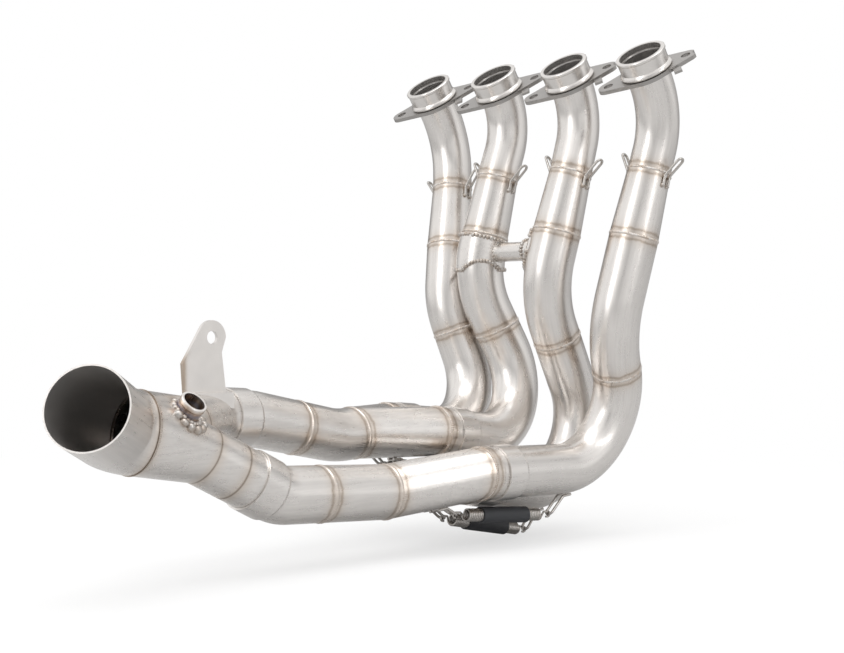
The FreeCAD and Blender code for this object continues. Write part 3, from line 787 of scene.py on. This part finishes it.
def drop_tree():
    """Uneven drops of weld metal, one on each point."""
    tree = Grower("weld_lumps", (("Size", "Float", 0.002), ("Seed", "Int", 1)))
    drop = tree.node("GeometryNodeMeshUVSphere", None, {"Segments": 12, "Rings": 8, "Radius": 1.0})
    vary = tree.varied((0.85, 0.85, 0.8), (1.2, 1.2, 1.15))
    drops = tree.node("GeometryNodeInstanceOnPoints", None,
                      {"Points": tree.given("Geometry"), "Instance": tree.val(drop, "Mesh"),
                       "Rotation": tree.varied((0.0, 0.0, 0.0), (3.0, 3.0, 3.0)),
                       "Scale": tree.vector("SCALE", {0: vary, "Scale": tree.given("Size")})})
    tree.end(tree.val(drops))
    return tree


def swept(points, radius, material):
    """A round wire through the points, closed at both ends."""
    around = 10
    last = len(points) - 1
    ways = [(points[min(i + 1, last)] - points[max(i - 1, 0)]).normalized() for i in range(last + 1)]
    vertices = []
    for point, (side, up) in zip(points, carried(ways)):
        vertices += ring(point, side, up, radius, around)
    faces = [list(range(around))[::-1], [last * around + k for k in range(around)]]
    for row in range(0, last * around, around):
        for k in range(around):
            a, b = row + k, row + (k + 1) % around
            faces.append((a, b, b + around, a + around))
    return new_mesh("wire", vertices, faces, [material])


def cad_points(node):
    """Corners of a CAD node's mesh."""
    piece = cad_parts[node]
    return [piece.matrix_world @ vertex.co for vertex in piece.data.vertices]


def axis_of(points):
    """Middle and direction of a long round body."""
    middle = sum(points, Vector()) / len(points)
    way = Vector((0.0, 1.0, 0.0))
    rounds = 30
    for _ in range(rounds):
        way = sum(((point - middle) * (point - middle).dot(way) for point in points), Vector())
        way.normalize()
    side = way.orthogonal().normalized()
    for across in (side, way.cross(side)):
        reach = [(point - middle).dot(across) for point in points]
        middle = middle + across * (min(reach) + max(reach)) / 2
    return middle, way


def landed(origins, way, node):
    """Where rays from the origins, along the way, first meet a CAD node."""
    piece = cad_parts[node]
    back = piece.matrix_world.inverted()
    spots = []
    for origin in origins:
        hit, spot = piece.ray_cast(back @ origin, back.to_3x3() @ way)[:2]
        if hit:
            spots.append(piece.matrix_world @ spot)
    return spots


def axis_tree(number):
    """Search tree of points on the centreline of a primary pipe."""
    route = primary_route(number)
    step = 0.0005
    count = int(route.length / step)
    tree = KDTree(count)
    for i in range(count):
        tree.insert(route.point(i * step), i)
    tree.balance()
    return tree


def thinned(points, spacing):
    """Some of the points, none closer to another than the spacing."""
    kept = []
    for point in points:
        if all((point - other).length > spacing for other in kept):
            kept.append(point)
    return kept


def rim_points(node, axis, least, spacing):
    """Points along a CAD node's sharp edges that lie farther than least from an axis."""
    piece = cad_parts[node]
    microns = 1e6
    sides = {}
    for polygon in piece.data.polygons:
        spots = [piece.matrix_world @ piece.data.vertices[i].co for i in polygon.vertices]
        for start, end in zip(spots, spots[1:] + spots[:1]):
            key = frozenset(tuple(round(c * microns) for c in spot) for spot in (start, end))
            sides.setdefault(key, [start, end]).append(polygon.normal)
    found = []
    sharp = math.radians(50.0)
    for start, end, *normals in sides.values():
        if len(normals) == 2 and normals[0].angle(normals[1], 0.0) > sharp:
            count = math.ceil((end - start).length / spacing)
            found += [start.lerp(end, i / count) for i in range(count)]
    return thinned([point for point in found if axis.find(point)[2] > least], spacing)


def foot_points(node, axis, spacing):
    """Points of a CAD node where it stands on the tube round an axis."""
    points = cad_points(node)
    foot_height = 0.0006
    least = min(axis.find(point)[2] for point in points)
    return thinned([point for point in points if axis.find(point)[2] < least + foot_height], spacing)


def joined(name, meshes, material):
    """One object from several meshes of one material, with its place in its mesh."""
    vertices = []
    faces = []
    for mesh in meshes:
        start = len(vertices)
        vertices += [v.co for v in mesh.vertices]
        faces += [[start + i for i in polygon.vertices] for polygon in mesh.polygons]
    piece = shaped(name, vertices, faces, [material])
    for mesh in meshes:
        bpy.data.meshes.remove(mesh)
    return piece


def dress(node, material):
    """Gives a CAD node a finish."""
    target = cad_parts[node]
    target.data.materials.clear()
    target.data.materials.append(material)


def placed(centre, way):
    """Moves the origin to a centre and turns Z to a way."""
    return Matrix.Translation(centre) @ way.to_track_quat("Z", "Y").to_matrix().to_4x4()


class HEADER_OT_primaries(bpy.types.Operator):
    """Bends the four primaries, each in its four welded lengths"""

    bl_idname = "header.primaries"
    bl_label = "Primaries"

    def execute(self, context):
        stub = sizes().stub_radius
        full = sizes().primary_radius
        table = weld_table()
        bore = sooted("tube_bore")
        for number in PIPES:
            route = primary_route(number)
            seam_a, seam_b, seam_c = primary_seams(number, route)
            welds = table["primary_%d" % number]
            mouth = route.length - JOINT_GAP - SLEEVE_LENGTH + SLEEVE_SEAT
            lengths = (("stub_bend", COLLAR_HEIGHT, seam_a, (stub, stub), welds[:1]),
                       ("primary_cone", seam_a, seam_b, (stub, full), welds[:2]),
                       ("primary_bend", seam_b, seam_c, (full, full), welds[1:]),
                       ("primary_elbow", seam_c, mouth, (full, full), welds[2:]))
            for part, start, end, radii, near in lengths:
                node = "%s_%d" % (part, number)
                steel = tube_steel(node + "_steel", near, drawn=True)
                piece = tube_mesh(node + "_tube", route, start, end, radii, [steel, bore])
                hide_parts(node)
                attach(piece, "root")
        return {"FINISHED"}


class HEADER_OT_joints(bpy.types.Operator):
    """Finishes the slip joints, collectors, secondaries and the final merge"""

    bl_idname = "header.joints"
    bl_label = "Joints and collectors"

    def execute(self, context):
        table = weld_table()
        for number in PIPES:
            dress("slip_sleeve_%d" % number, tube_steel("slip_sleeve_steel_%d" % number, []))
        for side, inlets in (("near", ("inlet_3", "inlet_4")), ("far", ("inlet_1", "inlet_2"))):
            welds = table[side + "_secondary"]
            mouths = table[inlets[0]] + table[inlets[1]] + welds[:1]
            dress(side + "_collector", tube_steel(side + "_collector_steel", mouths))
            dress(side + "_secondary_front", tube_steel(side + "_front_steel", welds))
            dress(side + "_secondary_rear", tube_steel(side + "_rear_steel", welds[1:]))
            dress(side + "_rear_sleeve", tube_steel(side + "_sleeve_steel", []))
            dress(side + "_branch", tube_steel(side + "_branch_steel", [], thin_seams(side)))
        lines = thin_seams("near") + thin_seams("far") + thin_seams("outlet")
        hot = Weld(BUNG_MOUTH - BUNG_WAY * BUNG_STAND, BUNG_WAY, sizes().bung_radius * 1.2)
        dress("final_merge", tube_steel("final_merge_steel", [hot], lines))
        return {"FINISHED"}


class HEADER_OT_outlet(bpy.types.Operator):
    """Bends the outlet pipe"""

    bl_idname = "header.outlet"
    bl_label = "Outlet"

    def execute(self, context):
        route = outlet_route()
        radius = sizes().outlet_radius
        steel = tube_steel("outlet_steel", [], thin_seams("outlet"), drawn=True)
        piece = tube_mesh("outlet_pipe_tube", route, 0.0, route.length, (radius, radius),
                          [steel, sooted("outlet_bore")])
        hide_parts("outlet_pipe")
        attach(piece, "root")
        return {"FINISHED"}


class HEADER_OT_ports(bpy.types.Operator):
    """Finishes the port collars and their flange plates"""

    bl_idname = "header.ports"
    bl_label = "Ports"

    def execute(self, context):
        for number in PIPES:
            dress("port_collar_%d" % number,
                  turned_steel("port_collar_steel_%d" % number, port_point(number)))
            dress("flange_plate_%d" % number,
                  plate_steel("flange_plate_steel_%d" % number, finish().flange))
        return {"FINISHED"}


class HEADER_OT_fittings(bpy.types.Operator):
    """Finishes the crossover, the bracket, the sensor bung and the wire loops"""

    bl_idname = "header.fittings"
    bl_label = "Fittings"

    def execute(self, context):
        for node in ("crossover_saddle", "crossover_socket", "crossover_pipe"):
            dress(node, tube_steel(node + "_steel", []))
        dress("support_bracket", plate_steel("bracket_steel", finish().steel, BRACKET_WELD_Y))
        dress("sensor_bung", blued_steel("bung_steel", BUNG_MOUTH))
        wire = wire_steel("loop_wire")
        for number in PIPES:
            dress("head_spring_loops_%d" % number, wire)
            dress("spring_sleeve_%d" % number, silicone("spring_sleeve_silicone_%d" % number))
        dress("front_spring_loops", wire)
        dress("rear_spring_loops", wire)
        return {"FINISHED"}


class HEADER_OT_springs(bpy.types.Operator):
    """Winds the four joint springs and bends their hooks"""

    bl_idname = "header.springs"
    bl_label = "Joint springs"

    def execute(self, context):
        self.wire = wire_steel("spring_wire")
        tree = coil_tree()
        for number in PIPES:
            node = "joint_spring_%d" % number
            middle, way = axis_of(cad_points("spring_sleeve_%d" % number))
            meshes = self.spring(tree, cad_points(node), middle, way)
            piece = joined(node + "_wire", meshes, self.wire)
            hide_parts(node)
            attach(piece, "root")
        return {"FINISHED"}

    def spring(self, tree, points, middle, way):
        """The coil and the two hooks of a spring, as long as the CAD node with these points."""
        size = sizes()
        reach = [(point - middle).dot(way) for point in points]
        low, high = min(reach), max(reach)
        lead = size.hook_radius + size.spring_wire + size.hook_reach
        nearby = size.hook_reach * 0.7
        wound = high - low - 2 * lead
        coil = tree.grown({"Turns": wound / size.spring_pitch,
                           "Radius": size.spring_radius - size.spring_wire,
                           "Wire": size.spring_wire, "Length": wound, "Metal": self.wire})
        coil.transform(placed(middle + way * (low + lead), way))
        meshes = [coil]
        ends = ((coil.vertices[:COIL_SIDES], low, way), (coil.vertices[-COIL_SIDES:], high, -way))
        for corners, tip, inward in ends:
            start = sum((v.co for v in corners), Vector()) / COIL_SIDES
            crown = middle + way * tip + inward * (size.hook_radius + size.spring_wire)
            near = [point - middle - way * (point - middle).dot(way) for point in points
                    if abs((point - crown).dot(way)) < nearby]
            out = sum(near, Vector()).normalized()
            meshes.append(self.hook(start, crown, out, inward))
        return meshes

    def hook(self, start, crown, out, inward):
        """Wire from the end of the coil to a half turn round the loop."""
        size = sizes()
        foot = crown + out * size.hook_radius
        join_share, lead_steps, arc_steps = 0.45, 12, 16
        join = foot + inward * size.hook_reach * join_share
        points = []
        for i in range(lead_steps):
            t = i / lead_steps
            points.append(start.lerp(join, t * t * (3 - 2 * t)))
        points += [join, foot]
        for i in range(1, arc_steps + 1):
            angle = math.pi * i / arc_steps
            points.append(crown + (out * math.cos(angle) - inward * math.sin(angle)) * size.hook_radius)
        points.append(crown - out * size.hook_radius + inward * size.hook_tail)
        return swept(points, size.spring_wire, self.wire)


class HEADER_OT_lumps(bpy.types.Operator):
    """Lays the rough welds round the sensor bung and the crossover"""

    bl_idname = "header.lumps"
    bl_label = "Rough welds"

    def execute(self, context):
        self.tree = drop_tree()
        self.metal = weld_steel("lump_metal", 0.72)
        radius = sizes().bung_radius
        side = BUNG_WAY.orthogonal().normalized()
        close = ring(BUNG_MOUTH, side, BUNG_WAY.cross(side), radius * 1.12, count=22)
        low = (Vector((0.0, 0.0, -1.0)) + BUNG_WAY * BUNG_WAY.z).normalized()
        wide = ring(BUNG_MOUTH, low, BUNG_WAY.cross(low), radius * 1.55, count=15)
        lower_half = wide[-3:] + wide[:4]
        meshes = [self.drops(0.0024, 3, landed(close, -BUNG_WAY, "final_merge")),
                  self.drops(0.0036, 8, landed(lower_half, -BUNG_WAY, "final_merge"))]
        piece = joined("bung_weld", meshes, self.metal)
        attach(piece, "root")
        skin, rim_spacing, foot_spacing = 0.0004, 0.0026, 0.0030
        least = sizes().primary_radius + skin
        rims = rim_points("crossover_saddle", axis_tree(2), least, rim_spacing)
        rims += rim_points("crossover_socket", axis_tree(3), least, rim_spacing)
        feet = []
        for number in PIPES:
            feet += foot_points("head_spring_loops_%d" % number, axis_tree(number), foot_spacing)
        meshes = [self.drops(0.0019, 5, rims), self.drops(0.0021, 6, feet)]
        piece = joined("fitting_welds", meshes, self.metal)
        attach(piece, "root")
        return {"FINISHED"}

    def drops(self, size, seed, spots):
        """Drops of weld metal of a size, one on each spot."""
        return self.tree.grown({"Size": size, "Seed": seed, "Metal": self.metal}, spots)


class HEADER_OT_beads(bpy.types.Operator):
    """Lays the rippled weld beads"""

    bl_idname = "header.beads"
    bl_label = "Weld beads"

    def execute(self, context):
        size = sizes()
        tree = bead_tree()
        metal = weld_steel("weld_metal", 0.95)
        seed = 0
        for group, welds in weld_table().items():
            meshes = []
            for weld in welds:
                seed += 1
                count = int(2 * math.pi * weld.radius / size.bead_pitch)
                mesh = tree.grown({"Radius": weld.radius, "Width": size.bead_width,
                                   "Height": size.bead_height, "Count": count,
                                   "Seed": seed, "Metal": metal})
                mesh.transform(placed(weld.centre, weld.way))
                meshes.append(mesh)
            piece = joined("weld_bead_" + group, meshes, metal)
            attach(piece, "root")
        return {"FINISHED"}


class HEADER_OT_stage(bpy.types.Operator):
    """Sets the floor, the lights, the world and the camera"""

    bl_idname = "header.stage"
    bl_label = "Stage"

    def execute(self, context):
        self.floor()
        self.lamps()
        self.world()
        camera_data = bpy.data.cameras.new("camera")
        camera_data.sensor_width = SENSOR_WIDTH
        camera_data.lens = SENSOR_WIDTH * PHOTO_FOCUS / PHOTO_WIDTH
        camera_data.clip_end = 200.0
        camera = linked("camera", camera_data)
        camera.location = CAMERA_PLACE
        camera.rotation_euler = (math.radians(90.0), 0.0, CAMERA_HEADING)
        context.scene.camera = camera
        context.scene.view_settings.view_transform = "Standard"
        return {"FINISHED"}

    def floor(self):
        """White to the camera away from the part; darker where the metal reflects it, as painted shade
        on the metal's lower sides.
        """
        look = finish()
        gap, half = 0.0005, 40.0
        level = CAD_BOX[0][2] - gap
        corners = [(x * half, y * half, level) for x, y in ((-1, -1), (1, -1), (1, 1), (-1, 1))]
        pale = Finish("floor_paint")
        cloud = pale.noise(pale.place, 0.6)
        path = pale.node("ShaderNodeLightPath")
        colour = pale.blend(cloud, rgba(look.floor, 0.995), rgba(look.floor))
        # Painted shade: glossy rays see the floor at 0.62 of its colour, which darkens its reflection
        # in the tubes' lower sides.
        colour = pale.blend(pale.val(path, "Is Glossy Ray"), colour, rgba(look.floor, 0.62))
        pale.set(Base_Color=colour, Roughness=0.9, Specular_IOR_Level=0.0)
        away = pale.vector("DISTANCE", {0: pale.place, 1: (0.0, -0.23, level)}, "Value")
        pale.whiten(pale.val(path, "Is Camera Ray") * pale.eased(away, 0.45, 1.1, 0.62))
        floor = shaped("floor", corners, [(0, 1, 2, 3)], [pale.material])

    def lamps(self):
        """Three soft boxes: overhead, left of the camera and right of the part."""
        aim = Vector((0.0, -0.25, -0.2))
        for name, place, width, height, power in (
                ("overhead_box", (0.2, -0.4, 1.6), 1.8, 1.2, 12.0),
                ("left_box", (-0.3, -2.2, 0.7), 0.7, 1.6, 7.5),
                ("right_strip", (1.9, -0.2, 0.6), 0.25, 1.4, 3.0)):
            data = bpy.data.lights.new(name, "AREA")
            data.shape = "RECTANGLE"
            data.size = width
            data.size_y = height
            data.energy = power
            lamp = linked(name, data)
            lamp.location = place
            lamp.rotation_euler = (aim - Vector(place)).to_track_quat("-Z", "Y").to_euler()

    def world(self):
        """White to the camera; to the metal, a studio with dark gaps to the right and behind."""
        world = bpy.data.worlds.new("studio")
        bpy.context.scene.world = world
        world.use_nodes = True
        air = Maker(world.node_tree)
        way = air.val(air.node("ShaderNodeTexCoord"), "Generated")
        right = air.dot(way, (0.80, 0.10, 0.0))
        lift = air.dot(way, (0.0, 0.0, 1.0))
        ahead = air.dot(way, (-math.sin(CAMERA_HEADING), math.cos(CAMERA_HEADING), 0.0))
        levels = ((0.0, 1.0), (0.28, 0.95), (0.36, 0.50), (0.42, 0.90), (0.60, 0.88), (0.68, 0.38),
                  (0.75, 0.72), (0.84, 0.85), (0.89, 1.0), (1.0, 1.0))
        shade = air.node("ShaderNodeValToRGB", None, {"Fac": (right + 0.15 - lift * 0.35) * 0.5 + 0.5})
        stops = shade.color_ramp.elements
        while len(stops) < len(levels):
            stops.new(0.5)
        for stop, (place, level) in zip(stops, levels):
            stop.position = place
            stop.color = rgba(WHITE, level)
        dark = (0.16, 0.155, 0.15, 1.0)
        walls = air.blend(air.eased(ahead, 0.45, 0.90, 0.0, 0.8), air.val(shade), dark)
        studio = air.blend(air.eased(lift, 0.35, 0.75), walls, WHITE)
        seen = air.val(air.node("ShaderNodeLightPath"), "Is Camera Ray")
        background = air.node("ShaderNodeBackground", None,
                              {"Color": air.blend(seen, studio, WHITE), "Strength": 1.0})
        air.node("ShaderNodeOutputWorld", None, {"Surface": air.val(background)})


OPERATORS = (HEADER_OT_primaries, HEADER_OT_joints, HEADER_OT_outlet, HEADER_OT_ports,
             HEADER_OT_fittings, HEADER_OT_springs, HEADER_OT_beads, HEADER_OT_lumps,
             HEADER_OT_stage)


class HEADER_PT_panel(bpy.types.Panel):
    """Lists the steps that make the header"""

    bl_idname = "HEADER_PT_panel"
    bl_label = "Exhaust header"
    bl_space_type = "VIEW_3D"
    bl_region_type = "UI"
    bl_category = "Header"

    def draw(self, context):
        for operator in OPERATORS:
            self.layout.operator(operator.bl_idname)


CLASSES = (HeaderSizes, HeaderFinish) + OPERATORS + (HEADER_PT_panel,)


def register():
    for cls in CLASSES:
        bpy.utils.register_class(cls)
    bpy.types.Scene.header_sizes = bpy.props.PointerProperty(type=HeaderSizes)
    bpy.types.Scene.header_finish = bpy.props.PointerProperty(type=HeaderFinish)


def unregister():
    del bpy.types.Scene.header_finish
    del bpy.types.Scene.header_sizes
    for cls in reversed(CLASSES):
        bpy.utils.unregister_class(cls)


def main():
    register()
    bpy.ops.header.primaries()
    bpy.ops.header.joints()
    bpy.ops.header.outlet()
    bpy.ops.header.ports()
    bpy.ops.header.fittings()
    bpy.ops.header.springs()
    bpy.ops.header.beads()
    bpy.ops.header.lumps()
    bpy.ops.header.stage()


if __name__ == "__main__":
    main()
